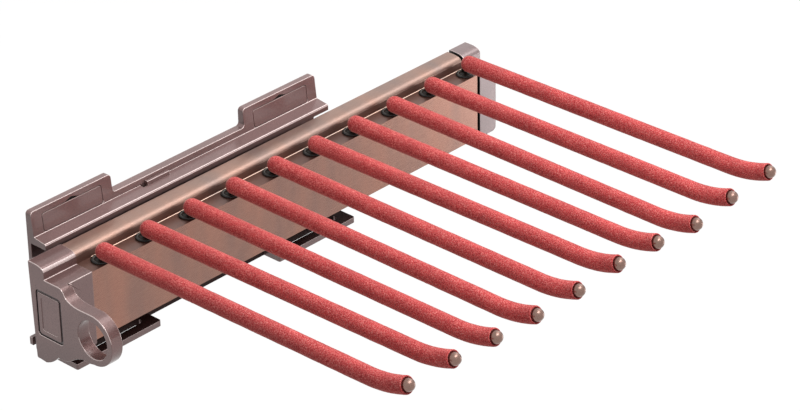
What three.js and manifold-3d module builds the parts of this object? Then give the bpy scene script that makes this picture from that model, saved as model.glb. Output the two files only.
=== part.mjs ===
// Pull-out trouser rack: a wall bracket, a two-stage ball slide and a rail that carries the arms.
// Millimetres. X runs out from the wall, Y runs back along the rail from the handle, Z is up.
// The origin is the middle of the bracket's wall face, level with the slide's centre line.

import * as THREE from "three";
import { mergeVertices } from "three/addons/utils/BufferGeometryUtils.js";
import Module from "manifold-3d";

const wasm = await Module();
wasm.setup();

// Driving sizes

const clearance = 0.3; // gap between two pieces that rest on each other
const weld = 1e-4; // vertices closer than this are one
const overrun = 2; // how far a cutter reaches past the face that it cuts

const arms = {
  count: 10,
  pitch: 43,
  postX: 46.2, // axis of the upright part of each rod
  height: 9, // rod axis over the rail's shelf
  rodRadius: 2.5,
  rootBend: 5, // radius of the bend between post and arm
  postDepth: 7.5, // length of post under the shelf's top
  rootReach: 1.4, // from the post's axis back to the end of the sleeve
  reach: 348.8, // from the wall to the ends of the knobs
  tipRadius: 96,
  tipDegrees: 22,
  liftDegrees: [0.7, 0.5, 0.1, -0.2, -0.2, 0.2, 0, -0.7, 0.2, 0.3], // each arm's own rise
  turnDegrees: [0.1, 0.5, 0.2, 0, 0.1, 0.2, 0.1, 0.2, -0.2, 0.1], // and its turn about the post
  lastRise: 2, // how much higher the last arm stands
};

const sleeve = {
  radius: 6.6,
  sides: 14,
  domeInset: 0.15, // the dome stays this far inside the tube's own radius
  cupDepth: 1.8, // hollow in the end that takes the back of the knob
};

const knob = {
  radius: 5.2,
  baseBack: 0.8, // from the dome's centre back to its base
  baseInset: 0.4, // how much narrower the base is than the dome
  collarRadius: 3.9,
  collarBack: 2, // from the dome's centre to the collar's back face
  boreDepth: 4,
  sides: 12,
};

const washer = {
  radius: 7.7,
  height: 1.7,
  rim: 1.1,
  floor: 0.7,
  sides: 16,
};

const rail = {
  back: 22.9, // distance of the rail's back wall from the cabinet wall
  face: 54.2, // distance of its tall front face
  beadFront: 37.8, // distance of the upright wall behind the shelf
  shelf: 30, // height of the shelf that carries the arms
  beadTop: 40.2,
  beadEdge: 36, // height where the bead's rounded front edge ends
  bottom: -25.8,
  wall: 1.8,
  landHeight: 20, // raised band on the back wall that the slide is screwed to
  frontInset: 46.5, // from the handle's outer face to the first arm
  rearInset: 27.5, // from the last arm to the rear end
};

const bracket = {
  length: 288,
  wall: 3.6,
  plateTop: 5.4, // thickness of the tabs at their tops
  plateRoot: 7.6, // thickness of the tabs at the ledge
  ledgeRoot: 45.3, // height of the ledge where it meets the tabs
  ledgeReach: 19.6,
  ledgeFall: 1.5, // drop of the ledge's top from root to lip
  ledgeLip: 4.8, // thickness of the lip
  lipChamfer: 0.9,
  tabHeight: 19.3,
  tabLength: 77,
  tabCorner: 2.8,
  stripHeight: 4.8, // low strip between the tabs
  footBottom: -50.2,
  footThickness: 5,
  footReach: 44.8,
  footLength: 82.5,
  footCorner: 1.5,
  flangeReach: 28,
  slotWidth: 6,
  slotInset: 8.4, // from the foot's outer edge to the slot
  slotMargin: 10, // from the foot's ends to the slot's
  lugLength: 5.3,
  lugHeight: 6.5,
  lugTop: -37,
};

const cover = {
  length: 56.5,
  height: 14,
  thickness: 1.3,
  corner: 1.8,
  rise: 0.5, // from the ledge to the cover's lower edge
  notchLength: 15,
  notchHeight: 2.5,
  notchDepth: 1.5,
};

const wallScrew = {
  headRadius: 3.5,
  topShare: 0.7, // radius of the head's flat top against its rim's
  headHeight: 1.5,
  shankRadius: 2,
  seat: 2.2, // plate left under the head
  pocketLength: 44,
  pocketHeight: 9,
};

const latch = {
  length: 22,
  width: 2.8,
  rise: 2.4, // above the ledge
  window: 4.5, // open part of its slot in front of it
  start: -36.5, // Y of its front end
  flange: 1.2, // rim that holds it under the ledge
};

const slide = {
  endInset: 2, // from the bracket's ends to the slide's
  halfHeight: 22.5,
  depth: 13.5,
  sheet: 1.2,
  innerSheet: 1,
  ballRadius: 1.55,
  ballGap: 0.2,
  ballCount: 5,
  cageLength: 138,
  cageSheet: 0.6,
  stationGap: 0.4, // between a cage and the sheets beside it
  outerLipX: 9.5, // reach of the outer member's flanges
  middleFlangeX: 12.1, // reach of the middle member's flanges
  innerLipX: 5.3, // where the inner member's flanges start
  lipDepth: 1.2, // how far a lip overlaps the balls that it keeps in
  screwInset: 32, // from the slide's ends to its screws
};

const slideScrew = {
  headRadius: 2.8,
  headHeight: 1.3, // its countersunk head, flush with the sheet
  shankRadius: 1.6,
  bite: 3.6, // from the sheet's inner face to the screw's end
  sides: 12,
};

const handle = {
  thickness: 10.3,
  gap: 9.2, // between the plate and the bracket's front end
  proud: 0.7, // how far the caps stand out of the rail's faces
  ringX: 86.2,
  ringZ: 0.7,
  ringRadius: 20.2,
  holeRadius: 15.1,
  bottom: -29.4,
  lobeBottom: -38.8,
  lobeRight: 47.5,
  lean: 2.3, // how far its back edge runs out towards the bottom
  sleeveLength: 20.8, // how far the cap reaches over the rail
  sleeveBottom: -29.4,
  sleeveCorner: 2.4,
  plugLength: 14,
  plugDrop: 1.5, // from the posts' ends down to the plugs
  wall: 2.4,
};

const inset = {
  left: 28.6,
  right: 54.1,
  bottom: -16.8,
  top: 20,
  thickness: 1.6,
  corner: 2.6,
  groove: 1.5, // width of the sunken band around its face
  grooveDepth: 0.8,
  faceCorner: 1.8,
  border: 4.8, // from its edge to the dish in its face
  dish: 0.4,
};

const endCap = {
  length: 19.5,
  seam: 2, // open groove between the rail and the cap
  corner: 4,
};

const nutBar = {
  width: 9,
  thickness: 3,
  margin: 6.5, // bar beyond the first and last post
};

// Shares of the two curves in the handle's outline, along and down between their ends

const topCurveShare = {
  start: [-0.06, 0],
  bendA: [0.1, 0],
  bendB: [0.1, 0.42],
  middle: [0.17, 0.64],
  bendC: [0.32, 1.01],
  end: [0.6, 1.03],
};
const lowCurveShare = {
  ring: [0.1, 0.08],
  start: [0.29, 0.08],
  bendA: [0.5, 0.1],
  bendB: [0.64, 0.97],
  end: [0.85, 1],
};
const lobeShare = {
  rightBend: [0.22, 0.72],
  bottom: [0.58, 1],
  leftBend: [0.85, 0.93],
  cornerRise: 0.25,
};
const beadShare = {
  flat: 0.35,
  bend: 0.95,
};

// Places that follow from the sizes

const railFront = -bracket.length / 2 - handle.gap - handle.thickness;
const handleInner = railFront + handle.thickness;
const firstArmY = railFront + rail.frontInset;
const lastArmY = firstArmY + (arms.count - 1) * arms.pitch;
const railRear = lastArmY + rail.rearInset;
const profileFront = handleInner + handle.sleeveLength + clearance;
const profileRear = railRear - endCap.length - endCap.seam;
const armAxisZ = rail.shelf + arms.height;
const boreRadius = arms.rodRadius + clearance;
const slideBack = bracket.wall + clearance;
const slideFace = slideBack + slide.depth;
const landFace = slideFace + clearance;
const tabSlope = Math.atan((bracket.plateRoot - bracket.plateTop) / bracket.tabHeight);
const tabTop = bracket.ledgeRoot + bracket.tabHeight;
const footTop = bracket.footBottom + bracket.footThickness;
const lipTop = bracket.ledgeRoot - bracket.ledgeFall;
const ledgeUnder = lipTop - bracket.ledgeLip;
const tabMiddles = [-1, 1].map((side) => (side * (bracket.length - bracket.tabLength)) / 2);
const slideLength = bracket.length - 2 * slide.endInset;
const screwPlaces = [-1, 1].map((side) => side * (slideLength / 2 - slide.screwInset));
const ends = ["front", "rear"];
const armPlaces = Array.from({ length: arms.count }, (_, i) => firstArmY + i * arms.pitch);

// Materials

const paint = (color, roughness, metalness) =>
  new THREE.MeshStandardMaterial({ color, roughness, metalness });
const mouldedBrown = () => paint(0x7d6a6a, 0.45, 0.25);
const bronzeAluminium = () => paint(0x9a8070, 0.35, 0.8);
const redFlock = () => paint(0xb8383c, 0.95, 0);
const knobBronze = () => paint(0x8a7468, 0.3, 0.85);
const zincSteel = () => paint(0xb4b6b8, 0.4, 0.9);
const blackSteel = () => paint(0x2a2626, 0.5, 0.7);
const cageSteel = () => paint(0x8c8f92, 0.45, 0.8);
const greyWasher = () => paint(0x7f8078, 0.5, 0.3);
const pad = (number) => String(number).padStart(2, "0");

// Solids

const toSolid = (geometry) => {
  const bare = geometry.index ? geometry.toNonIndexed() : geometry.clone();
  bare.deleteAttribute("normal");
  bare.deleteAttribute("uv");
  const merged = mergeVertices(bare, weld);
  return new wasm.Manifold(
    new wasm.Mesh({
      numProp: 3,
      vertProperties: merged.attributes.position.array,
      triVerts: new Uint32Array(merged.index.array),
    }),
  );
};

const toGeometry = (solid) => {
  const made = solid.getMesh();
  const geometry = new THREE.BufferGeometry();
  geometry.setAttribute("position", new THREE.BufferAttribute(made.vertProperties, 3));
  geometry.setIndex(new THREE.BufferAttribute(made.triVerts, 1));
  geometry.computeVertexNormals();
  return geometry;
};

const join = (...geometries) =>
  geometries.map(toSolid).reduce((whole, next) => whole.add(next));
const cut = (solid, ...geometries) =>
  geometries.map(toSolid).reduce((left, next) => left.subtract(next), solid);

const mesh = (name, geometry, material) => {
  const made = new THREE.Mesh(geometry, material);
  made.name = name;
  return made;
};

// A shape drawn in X and Z, run along Y.
const alongY = (shape, from, to, curveSegments = 3) =>
  new THREE.ExtrudeGeometry(shape, { depth: to - from, bevelEnabled: false, curveSegments })
    .rotateX(Math.PI / 2)
    .translate(0, to, 0);

// A shape drawn in Y and Z, run along X.
const alongX = (shape, from, to, curveSegments = 2) =>
  new THREE.ExtrudeGeometry(shape, { depth: to - from, bevelEnabled: false, curveSegments })
    .rotateX(Math.PI / 2)
    .rotateZ(Math.PI / 2)
    .translate(from, 0, 0);

// A shape drawn in X and Y, run along Z.
const alongZ = (shape, from, to, curveSegments = 3) =>
  new THREE.ExtrudeGeometry(shape, { depth: to - from, bevelEnabled: false, curveSegments })
    .translate(0, 0, from);

const block = (low, high) =>
  new THREE.BoxGeometry(high[0] - low[0], high[1] - low[1], high[2] - low[2]).translate(
    (low[0] + high[0]) / 2,
    (low[1] + high[1]) / 2,
    (low[2] + high[2]) / 2,
  );

const polygon = (points) => new THREE.Shape(points.map(([u, v]) => new THREE.Vector2(u, v)));

// The upper half of a section, from its first point on the axis to its last, with its mirror.
const mirrored = (half) => polygon([...half, ...[...half].reverse().map(([u, v]) => [u, -v])]);

const roundedBox = (left, right, bottom, top, radius) => {
  const shape = new THREE.Shape();
  shape.moveTo(left + radius, bottom);
  shape.lineTo(right - radius, bottom);
  shape.absarc(right - radius, bottom + radius, radius, -Math.PI / 2, 0);
  shape.lineTo(right, top - radius);
  shape.absarc(right - radius, top - radius, radius, 0, Math.PI / 2);
  shape.lineTo(left + radius, top);
  shape.absarc(left + radius, top - radius, radius, Math.PI / 2, Math.PI);
  shape.lineTo(left, bottom + radius);
  shape.absarc(left + radius, bottom + radius, radius, Math.PI, 1.5 * Math.PI);
  return shape;
};

// A turned piece, its profile in radius and height along X.
const turned = (points, sides) =>
  new THREE.LatheGeometry(points.map(([r, h]) => new THREE.Vector2(r, h)), sides).rotateZ(
    -Math.PI / 2,
  );

// Rod path

class StationPath extends THREE.Curve {
  constructor(stations) {
    super();
    this.stations = stations;
  }

  at(u) {
    return this.stations[Math.round(u * (this.stations.length - 1))];
  }

  getPointAt(u, target = new THREE.Vector3()) {
    return target.copy(this.at(u).point);
  }

  getTangentAt(u, target = new THREE.Vector3()) {
    return target.copy(this.at(u).tangent);
  }
}

const station = (x, z, angle) => ({
  point: new THREE.Vector3(x, 0, z),
  tangent: new THREE.Vector3(Math.cos(angle), 0, Math.sin(angle)),
});

const rootBendSteps = 4;
const tipSteps = 5;
const tipAngle = THREE.MathUtils.degToRad(arms.tipDegrees);
const straightEnd = arms.reach - knob.radius - arms.tipRadius * Math.sin(tipAngle);

// Places on the risen tip, with the share of the bend that lies before them.
const tipStation = (share) => {
  const angle = tipAngle * share;
  return station(
    straightEnd + arms.tipRadius * Math.sin(angle),
    armAxisZ + arms.tipRadius * (1 - Math.cos(angle)),
    angle,
  );
};
const domeCentre = tipStation(1);
const tipShareAt = (distanceBack) => 1 - distanceBack / (arms.tipRadius * tipAngle);

const tipStations = (endShare) =>
  Array.from({ length: tipSteps + 1 }, (_, i) => tipStation((endShare * i) / tipSteps));

const rootStations = (footZ) => {
  const bend = Array.from({ length: rootBendSteps + 1 }, (_, i) => {
    const turn = ((Math.PI / 2) * i) / rootBendSteps;
    return station(
      arms.postX + arms.rootBend * (1 - Math.cos(turn)),
      armAxisZ - arms.rootBend * (1 - Math.sin(turn)),
      Math.PI / 2 - turn,
    );
  });
  return [station(arms.postX, footZ, Math.PI / 2), ...bend];
};

const sweep = (radius, sides, stations) => {
  const ring = Array.from({ length: sides }, (_, i) => {
    const angle = (2 * Math.PI * i) / sides;
    return [radius * Math.cos(angle), radius * Math.sin(angle)];
  });
  return new THREE.ExtrudeGeometry(polygon(ring), {
    steps: stations.length - 1,
    extrudePath: new StationPath(stations),
    bevelEnabled: false,
  });
};

// Arms

const rodSides = 8;
const knobBoreEnd = tipShareAt(knob.collarBack - knob.boreDepth + clearance);
const rodGeometry = sweep(arms.rodRadius, rodSides, [
  ...rootStations(rail.shelf - arms.postDepth),
  ...tipStations(knobBoreEnd),
]);

const sleeveGeometry = (() => {
  const domeX = arms.postX - arms.rootReach + sleeve.radius;
  const cupFloor = knob.collarBack + clearance;
  const endShare = tipShareAt(cupFloor - sleeve.cupDepth);
  const tube = sweep(sleeve.radius, sleeve.sides, [
    station(domeX, armAxisZ, 0),
    ...tipStations(endShare),
  ]);
  const dome = new THREE.SphereGeometry(sleeve.radius - sleeve.domeInset, sleeve.sides, 8)
    .rotateZ(Math.PI / 2)
    .translate(domeX, 0, armAxisZ);
  const bore = sweep(boreRadius, rodSides, [
    ...rootStations(rail.shelf),
    ...tipStations(1),
  ]);
  const cup = turned(
    [
      [0, -cupFloor],
      [knob.radius + clearance, -cupFloor],
      [knob.radius + clearance, overrun],
      [0, overrun],
    ],
    sleeve.sides,
  )
    .rotateY(-tipAngle)
    .translate(...domeCentre.point);
  return toGeometry(cut(join(tube, dome), bore, cup));
})();

const knobGeometry = (() => {
  const domeSteps = 5;
  const dome = Array.from({ length: domeSteps }, (_, i) => {
    const angle = ((Math.PI / 2) * i) / domeSteps;
    return [knob.radius * Math.cos(angle), knob.radius * Math.sin(angle)];
  });
  return turned(
    [
      [0, knob.boreDepth - knob.collarBack],
      [boreRadius, knob.boreDepth - knob.collarBack],
      [boreRadius, -knob.collarBack],
      [knob.collarRadius, -knob.collarBack],
      [knob.collarRadius, -knob.baseBack],
      [knob.radius - knob.baseInset, -knob.baseBack],
      ...dome,
      [0, knob.radius],
    ],
    knob.sides,
  );
})();

const washerGeometry = new THREE.LatheGeometry(
  [
    [boreRadius, 0],
    [washer.radius, 0],
    [washer.radius, washer.height],
    [washer.radius - washer.rim, washer.height],
    [washer.radius - 2 * washer.rim, washer.floor],
    [boreRadius, washer.floor],
    [boreRadius, 0],
  ].map(([r, h]) => new THREE.Vector2(r, h)),
  washer.sides,
).rotateX(Math.PI / 2);

// The rod, the sleeve and the knob lean together about the foot of the post, the washer lies flat.
const makeArm = (y, index) => {
  const number = pad(index + 1);
  const foot = new THREE.Group();
  foot.position.set(arms.postX, y, rail.shelf);
  const dish = mesh("arm_washer_" + number, washerGeometry, greyWasher());
  dish.position.z = clearance;
  const lean = new THREE.Group();
  lean.position.z = index === arms.count - 1 ? arms.lastRise : 0;
  lean.rotation.y = -THREE.MathUtils.degToRad(arms.liftDegrees[index] ?? 0);
  lean.rotation.z = THREE.MathUtils.degToRad(arms.turnDegrees[index] ?? 0);
  const upright = new THREE.Group();
  upright.position.set(-arms.postX, 0, -rail.shelf);
  const tip = mesh("arm_knob_" + number, knobGeometry, knobBronze());
  tip.position.copy(domeCentre.point);
  tip.rotation.y = -tipAngle;
  upright.add(
    mesh("arm_rod_" + number, rodGeometry, blackSteel()),
    mesh("arm_sleeve_" + number, sleeveGeometry, redFlock()),
    tip,
  );
  lean.add(upright);
  foot.add(lean, dish);
  return foot;
};

// Rail

// The bead's rounded top, from its front edge to its back.
const beadSteps = 6;
const roundBead = (shape, grow) => {
  const back = rail.back - grow;
  const front = rail.beadFront + grow;
  const top = rail.beadTop + grow;
  const across = (share) => new THREE.Vector2(back + share * (front - back), top);
  const curve = new THREE.QuadraticBezierCurve(
    new THREE.Vector2(front, rail.beadEdge + grow),
    across(beadShare.bend),
    across(beadShare.flat),
  );
  curve.getPoints(beadSteps).forEach(({ x, y }) => shape.lineTo(x, y));
  shape.lineTo(back, top);
};

// The rail's outer section, grown or shrunk by an even margin.
const railShape = (grow, withLand = false) => {
  const back = rail.back - grow;
  const shape = new THREE.Shape();
  shape.moveTo(back, rail.bottom - grow);
  shape.lineTo(rail.face + grow, rail.bottom - grow);
  shape.lineTo(rail.face + grow, rail.shelf + grow);
  shape.lineTo(rail.beadFront + grow, rail.shelf + grow);
  roundBead(shape, grow);
  if (withLand) {
    shape.lineTo(back, rail.landHeight / 2);
    shape.lineTo(landFace, rail.landHeight / 2);
    shape.lineTo(landFace, -rail.landHeight / 2);
    shape.lineTo(back, -rail.landHeight / 2);
  }
  return shape;
};

const hole = (shape, inner) => {
  shape.holes.push(new THREE.Path(inner.getPoints(3)));
  return shape;
};

const postHole = (y, low, high) =>
  new THREE.CylinderGeometry(boreRadius, boreRadius, high - low, rodSides)
    .rotateX(Math.PI / 2)
    .translate(arms.postX, y, (low + high) / 2);

const makeRail = () => {
  const tube = alongY(
    hole(railShape(0, true), railShape(-rail.wall)),
    profileFront,
    profileRear,
  );
  const low = rail.shelf - rail.wall - overrun;
  const posts = armPlaces.map((y) => postHole(y, low, rail.shelf + overrun));
  const screws = screwPlaces.map((y) => railSideScrew(slideScrewSolid(clearance), y));
  return mesh("rail_profile", toGeometry(cut(toSolid(tube), ...posts, ...screws)), bronzeAluminium());
};

const makeNutBar = () => {
  const top = rail.shelf - rail.wall - clearance;
  const bar = block(
    [arms.postX - nutBar.width / 2, firstArmY - nutBar.margin, top - nutBar.thickness],
    [arms.postX + nutBar.width / 2, lastArmY + nutBar.margin, top],
  );
  const holes = armPlaces.map((y) =>
    postHole(y, top - nutBar.thickness - overrun, top + overrun),
  );
  return mesh("nut_bar", toGeometry(cut(toSolid(bar), ...holes)), zincSteel());
};

// Handle and end caps

const place = (from, to, [along, down]) => [
  from[0] + (to[0] - from[0]) * along,
  from[1] + (to[1] - from[1]) * down,
];

const handleShape = () => {
  const grow = handle.proud;
  const back = rail.back - grow;
  const ringTop = [handle.ringX, handle.ringZ + handle.ringRadius];
  const ringLow = [handle.ringX, handle.ringZ - handle.ringRadius];
  const shoulder = [rail.face + grow, rail.shelf + grow];
  const lobeRight = [handle.lobeRight, handle.bottom];
  const lobeLeft = [back + handle.lean, handle.lobeBottom];
  const top = (share) => place(shoulder, ringTop, share);
  const low = (share) => place(ringLow, lobeRight, share);
  const lobe = (share) => place(lobeRight, lobeLeft, share);
  const shape = new THREE.Shape();
  shape.moveTo(back, rail.beadTop + grow);
  shape.lineTo(...[lobeLeft[0], lobe([1, 1 - lobeShare.cornerRise])[1]]);
  shape.quadraticCurveTo(...lobeLeft, ...lobe(lobeShare.leftBend));
  shape.lineTo(...lobe(lobeShare.bottom));
  shape.quadraticCurveTo(...lobe(lobeShare.rightBend), ...lobeRight);
  shape.lineTo(...low(lowCurveShare.end));
  shape.bezierCurveTo(
    ...low(lowCurveShare.bendB),
    ...low(lowCurveShare.bendA),
    ...low(lowCurveShare.start),
  );
  shape.lineTo(...low(lowCurveShare.ring));
  shape.lineTo(...ringLow);
  shape.absarc(handle.ringX, handle.ringZ, handle.ringRadius, -Math.PI / 2, Math.PI / 2);
  shape.lineTo(...top(topCurveShare.end));
  shape.quadraticCurveTo(...top(topCurveShare.bendC), ...top(topCurveShare.middle));
  shape.bezierCurveTo(
    ...top(topCurveShare.bendB),
    ...top(topCurveShare.bendA),
    ...top(topCurveShare.start),
  );
  shape.lineTo(rail.beadFront + grow, rail.shelf + grow);
  roundBead(shape, grow);
  return shape;
};

const insetShape = (grow, corner) =>
  roundedBox(
    inset.left - grow,
    inset.right + grow,
    inset.bottom - grow,
    inset.top + grow,
    corner,
  );

// The part of a cap that sits inside the rail, under the posts' ends.
const plug = (inside, from, to) => {
  const gap = rail.wall + clearance + inside;
  return block(
    [rail.back + gap, from, rail.bottom + gap],
    [rail.face - gap, to, rail.shelf - arms.postDepth - handle.plugDrop - inside],
  );
};

// What rounding takes off a cap's lower rear corner.
const lowCorner = (end, low, radius) => {
  const corner = new THREE.Shape();
  corner.moveTo(end - radius, low);
  corner.absarc(end - radius, low + radius, radius, -Math.PI / 2, 0);
  corner.lineTo(end + overrun, low + radius);
  corner.lineTo(end + overrun, low - overrun);
  corner.lineTo(end - radius, low - overrun);
  return alongX(corner, rail.back - overrun, rail.face + overrun);
};

const makeHandle = () => {
  const outline = handleShape();
  outline.holes.push(
    new THREE.Path().absarc(handle.ringX, handle.ringZ, handle.holeRadius, 0, 2 * Math.PI, true),
  );
  const sleeveEnd = profileFront - clearance;
  const plugEnd = profileFront + handle.plugLength;
  const skirt = block(
    [rail.back - handle.proud, handleInner - overrun, handle.sleeveBottom],
    [rail.face + handle.proud, sleeveEnd, rail.bottom],
  );
  const collar = join(alongY(railShape(handle.proud), handleInner - overrun, sleeveEnd), skirt);
  const body = join(alongY(outline, railFront, handleInner, 14), plug(0, sleeveEnd - overrun, plugEnd)).add(
    cut(collar, lowCorner(sleeveEnd, handle.sleeveBottom, handle.sleeveCorner)),
  );
  const hollow = plug(handle.wall, handleInner, plugEnd + overrun);
  const seat = alongY(
    insetShape(clearance, inset.corner + clearance),
    railFront - overrun,
    railFront + inset.thickness + clearance,
  );
  return mesh("handle_cap", toGeometry(cut(body, hollow, seat)), mouldedBrown());
};

const makeInset = () => {
  const back = railFront + inset.thickness;
  const plate = alongY(insetShape(0, inset.corner), railFront + inset.grooveDepth, back);
  const face = alongY(insetShape(-inset.groove, inset.faceCorner), railFront, back);
  const dish = alongY(
    insetShape(-inset.border, inset.faceCorner),
    railFront - overrun,
    railFront + inset.dish,
  );
  return mesh("handle_inset", toGeometry(cut(join(plate, face), dish)), mouldedBrown());
};

const makeEndCap = () => {
  const start = railRear - endCap.length;
  const plugStart = profileRear - handle.plugLength;
  const body = join(
    alongY(railShape(handle.proud), start, railRear),
    plug(0, plugStart, start + overrun),
  );
  const hollow = plug(handle.wall, plugStart - overrun, railRear - handle.wall);
  const trim = lowCorner(railRear, rail.bottom - handle.proud, endCap.corner);
  return mesh("rail_end_cap", toGeometry(cut(body, hollow, trim)), mouldedBrown());
};

// Slide

// Heights of the flanges, from the outside in, and of the two rows of balls
const ballSpace = 2 * (slide.ballRadius + slide.ballGap);
const outerInside = slide.halfHeight - slide.sheet;
const middleOutside = outerInside - ballSpace;
const middleInside = middleOutside - slide.innerSheet;
const innerOutside = middleInside - ballSpace;
const outerBallZ = (outerInside + middleOutside) / 2;
const innerBallZ = (middleInside + innerOutside) / 2;

// Distances from the wall
const outerCageX = slideBack + slide.sheet + slide.stationGap;
const middleX = outerCageX + slide.cageSheet + slide.stationGap;
const innerCageX = middleX + slide.innerSheet + slide.stationGap;
const outerEdge = slideBack + slide.outerLipX;
const middleEdge = slideBack + slide.middleFlangeX;
const innerEdge = slideBack + slide.innerLipX;
const outerBallX = (middleX + slide.innerSheet + outerEdge - slide.sheet) / 2;
const innerBallX = (innerEdge + middleEdge) / 2;

const slideShapes = {
  outer: mirrored([
    [slideBack, 0],
    [slideBack, slide.halfHeight],
    [outerEdge, slide.halfHeight],
    [outerEdge, outerInside - slide.lipDepth - slide.ballGap],
    [outerEdge - slide.sheet, outerInside - slide.lipDepth - slide.ballGap],
    [outerEdge - slide.sheet, outerInside],
    [slideBack + slide.sheet, outerInside],
    [slideBack + slide.sheet, 0],
  ]),
  middle: mirrored([
    [middleX, 0],
    [middleX, middleOutside + slide.lipDepth],
    [middleX + slide.innerSheet, middleOutside + slide.lipDepth],
    [middleX + slide.innerSheet, middleOutside],
    [middleEdge, middleOutside],
    [middleEdge, middleInside - slide.lipDepth],
    [middleEdge - slide.innerSheet, middleInside - slide.lipDepth],
    [middleEdge - slide.innerSheet, middleInside],
    [middleX + slide.innerSheet, middleInside],
    [middleX + slide.innerSheet, 0],
  ]),
  inner: mirrored([
    [slideFace, 0],
    [slideFace, innerOutside],
    [innerEdge + slide.innerSheet, innerOutside],
    [innerEdge + slide.innerSheet, innerOutside + slide.lipDepth],
    [innerEdge, innerOutside + slide.lipDepth],
    [innerEdge, innerOutside - slide.sheet],
    [slideFace - slide.sheet, innerOutside - slide.sheet],
    [slideFace - slide.sheet, 0],
  ]),
};

const makeMember = (name, shape, toScrew) => {
  const bar = toSolid(alongY(shape, -slideLength / 2, slideLength / 2));
  const holes = toScrew ? screwPlaces.map((y) => toScrew(slideScrewSolid(clearance), y)) : [];
  return mesh(name, toGeometry(cut(bar, ...holes)), zincSteel());
};

const makeCage = (name, webX, stripEnd, ballX, ballZ) => {
  const stripTop = ballZ + slide.cageSheet;
  const half = [
    [webX, 0],
    [webX, stripTop],
    [stripEnd, stripTop],
    [stripEnd, stripTop - slide.cageSheet],
    [webX + slide.cageSheet, stripTop - slide.cageSheet],
    [webX + slide.cageSheet, 0],
  ];
  const strip = alongY(mirrored(half), -slide.cageLength / 2, slide.cageLength / 2);
  const step = slide.cageLength / slide.ballCount;
  const balls = [-1, 1].flatMap((side) =>
    Array.from({ length: slide.ballCount }, (_, i) =>
      new THREE.IcosahedronGeometry(slide.ballRadius, 0).translate(
        ballX,
        -slide.cageLength / 2 + (i + 0.5) * step,
        side * ballZ,
      ),
    ),
  );
  return mesh(name, toGeometry(join(strip, ...balls)), cageSteel());
};

// A countersunk screw along X, its flat head at zero, grown by a margin for its hole.
const slideScrewSolid = (grow) => {
  const head = slideScrew.headRadius + grow;
  const shank = slideScrew.shankRadius + grow;
  return turned(
    [
      [0, -slideScrew.bite - grow],
      [shank, -slideScrew.bite - grow],
      [shank, -slideScrew.headHeight],
      [head, 0],
      [head, grow],
      [0, grow],
    ],
    slideScrew.sides,
  );
};
const wallSideScrew = (geometry, y) => geometry.translate(slideBack + slide.sheet, y, 0);
const railSideScrew = (geometry, y) =>
  geometry.rotateZ(Math.PI).translate(slideFace - slide.sheet, y, 0);

// Bracket

const tabOutline = () => {
  const half = bracket.length / 2;
  const gap = half - bracket.tabLength;
  const strip = bracket.ledgeRoot + bracket.stripHeight;
  const r = bracket.tabCorner;
  const shape = new THREE.Shape();
  shape.moveTo(-half, bracket.footBottom);
  shape.lineTo(half, bracket.footBottom);
  shape.lineTo(half, tabTop - r);
  shape.absarc(half - r, tabTop - r, r, 0, Math.PI / 2);
  shape.lineTo(gap + r, tabTop);
  shape.absarc(gap + r, tabTop - r, r, Math.PI / 2, Math.PI);
  shape.lineTo(gap, strip + r);
  shape.absarc(gap - r, strip + r, r, 0, -Math.PI / 2, true);
  shape.lineTo(-gap + r, strip);
  shape.absarc(-gap + r, strip + r, r, -Math.PI / 2, -Math.PI, true);
  shape.lineTo(-gap, tabTop - r);
  shape.absarc(-gap - r, tabTop - r, r, 0, Math.PI / 2);
  shape.lineTo(-half + r, tabTop);
  shape.absarc(-half + r, tabTop - r, r, Math.PI / 2, Math.PI);
  return shape;
};

const bracketSection = () =>
  polygon([
    [0, bracket.footBottom],
    [bracket.flangeReach, bracket.footBottom],
    [bracket.flangeReach, footTop],
    [bracket.wall, footTop],
    [bracket.wall, ledgeUnder],
    [bracket.ledgeReach, ledgeUnder],
    [bracket.ledgeReach, lipTop - bracket.lipChamfer],
    [bracket.ledgeReach - bracket.lipChamfer, lipTop],
    [bracket.plateRoot, bracket.ledgeRoot],
    [bracket.plateTop, tabTop],
    [0, tabTop],
  ]);

const footShape = (middle) => {
  const half = bracket.footLength / 2;
  const r = bracket.footCorner;
  const shape = new THREE.Shape();
  shape.moveTo(0, middle - half);
  shape.lineTo(bracket.footReach - r, middle - half);
  shape.absarc(bracket.footReach - r, middle - half + r, r, -Math.PI / 2, 0);
  shape.lineTo(bracket.footReach, middle + half - r);
  shape.absarc(bracket.footReach - r, middle + half - r, r, 0, Math.PI / 2);
  shape.lineTo(0, middle + half);
  const slotEdge = bracket.footReach - bracket.slotInset;
  shape.holes.push(
    new THREE.Path(
      roundedBox(
        slotEdge - bracket.slotWidth,
        slotEdge,
        middle - half + bracket.slotMargin,
        middle + half - bracket.slotMargin,
        bracket.slotWidth / 2,
      ).getPoints(3),
    ),
  );
  return shape;
};

// Local frame of a tab's sloping face: X out of the face, Y along it, Z up it from the ledge.
const onTab = (geometry, middle) =>
  geometry.rotateY(-tabSlope).translate(bracket.plateRoot, middle, bracket.ledgeRoot);

const coverShape = (grow) =>
  roundedBox(
    -cover.length / 2 - grow,
    cover.length / 2 + grow,
    cover.rise - grow,
    cover.rise + cover.height + grow,
    cover.corner + grow,
  );

const notchShape = () => {
  const top = cover.rise + cover.height;
  const shape = new THREE.Shape();
  shape.moveTo(-cover.notchLength / 2, top);
  shape.quadraticCurveTo(0, top + 2 * cover.notchHeight, cover.notchLength / 2, top);
  return shape;
};

const coverMiddleZ = bracket.ledgeRoot + cover.rise + cover.height / 2;

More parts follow.
